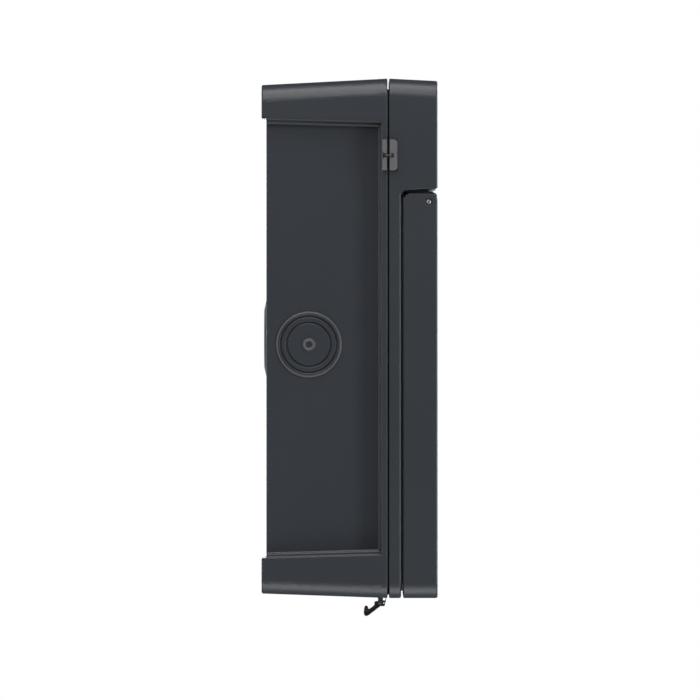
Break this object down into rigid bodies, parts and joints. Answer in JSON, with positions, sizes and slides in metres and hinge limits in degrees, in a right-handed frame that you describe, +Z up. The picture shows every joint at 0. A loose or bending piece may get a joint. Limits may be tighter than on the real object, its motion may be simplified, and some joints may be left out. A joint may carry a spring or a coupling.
{
  "type": "video door station",
  "caption": "Wall-mounted door station: deep drafted box, front cover with a camera head, and a lower flap hinged at its top with bell button, speaker slots and lock.",
  "frame": {"origin": "centre of the four wall screws, on the wall plane", "axes": "+Z up along the case, +X across it to the right of someone facing it, -Y out from the wall"},
  "size_m": [0.125, 0.08, 0.2453],
  "materials": {
    "case_plastic": "satin",
    "lug_plastic": "satin",
    "black_rubber": "matte",
    "catch_plastic": "satin",
    "brass": "polished",
    "steel": "satin",
    "lock_metal": "brushed",
    "smoked_window": "gloss",
    "lens_glass": "gloss",
    "black_plastic": "matte",
    "board_green": "satin",
    "diode_clear": "gloss",
    "diffuser": "satin",
    "flex_amber": "satin",
    "terminal_green": "satin",
    "battery_sleeve": "satin",
    "bell_cap": "satin",
    "name_clear": "gloss",
    "card": "matte",
    "reset_red": "satin"
  },
  "bodies": {
    "housing": {"back_box": "case_plastic", "rear_membrane": "black_rubber", "screw_hole_seals": "black_rubber", "cover_gasket": "black_rubber", "front_cover": "case_plastic", "seal_lug_box_left": "lug_plastic", "seal_lug_box_right": "lug_plastic", "seal_lug_cover_left": "lug_plastic", "seal_lug_cover_right": "lug_plastic", "seal_links": "brass", "hinge_pin_left": "steel", "hinge_pin_right": "steel", "catch_pin": "steel", "camera_window": "smoked_window", "lens_bezel": "lock_metal", "camera_lens": "lens_glass", "lens_barrel": "black_plastic", "camera_board": "board_green", "infrared_diodes": "diode_clear", "motion_lens": "diffuser", "motion_sensor": "steel", "microphone": "steel", "microphone_boot": "black_rubber", "camera_flex": "flex_amber", "main_board": "board_green", "radio_shield": "steel", "reset_switch": "black_plastic", "board_screws": "steel", "ring_board": "board_green", "ring_diodes": "diode_clear", "hall_sensor": "diode_clear", "lit_window": "diffuser", "speaker": "black_plastic", "speaker_gasket": "black_rubber", "power_supply": "black_plastic", "terminal_block": "terminal_green", "backup_battery": "battery_sleeve", "battery_strap": "steel", "cover_screws": "steel", "service_cap": "black_rubber", "lock_keeper": "steel", "keeper_screws": "steel"},
    "flap": {"flap_shell": "case_plastic", "name_card": "card", "name_window": "name_clear", "light_guide": "diffuser", "button_carrier": "black_plastic", "bell_spring": "steel", "speaker_mesh": "steel", "lock_body": "lock_metal", "lock_nut": "steel"},
    "bell_button": {"bell_button_cap": "bell_cap", "bell_magnet": "steel", "bell_clip": "steel"},
    "lock": {"lock_plug": "lock_metal", "lock_cam": "steel", "cam_screw": "steel"},
    "catch": {"catch_lever": "catch_plastic"},
    "reset": {"reset_button": "reset_red"}
  },
  "joints": [
    {"name": "flap_hinge", "type": "hinge", "parent": "housing", "child": "flap", "pos_m": [0, -0.0759, 0.0619], "axis": [-1, 0, 0], "range_deg": [0, 105]},
    {"name": "bell_press", "type": "slide", "parent": "flap", "child": "bell_button", "axis": [0, 1, 0], "range_m": [0, 0.0015], "stiffness_N_per_m": 500, "deforming": ["bell_spring"]},
    {"name": "lock_turn", "type": "hinge", "parent": "flap", "child": "lock", "pos_m": [0, -0.07, -0.096], "axis": [0, -1, 0], "range_deg": [0, 90]},
    {"name": "catch_swing", "type": "hinge", "parent": "housing", "child": "catch", "pos_m": [0, -0.05405, -0.12135], "axis": [1, 0, 0], "range_deg": [-60, 20]},
    {"name": "reset_press", "type": "slide", "parent": "housing", "child": "reset", "axis": [0, 1, 0], "range_m": [0, 0.0008], "stiffness_N_per_m": 400}
  ]
}
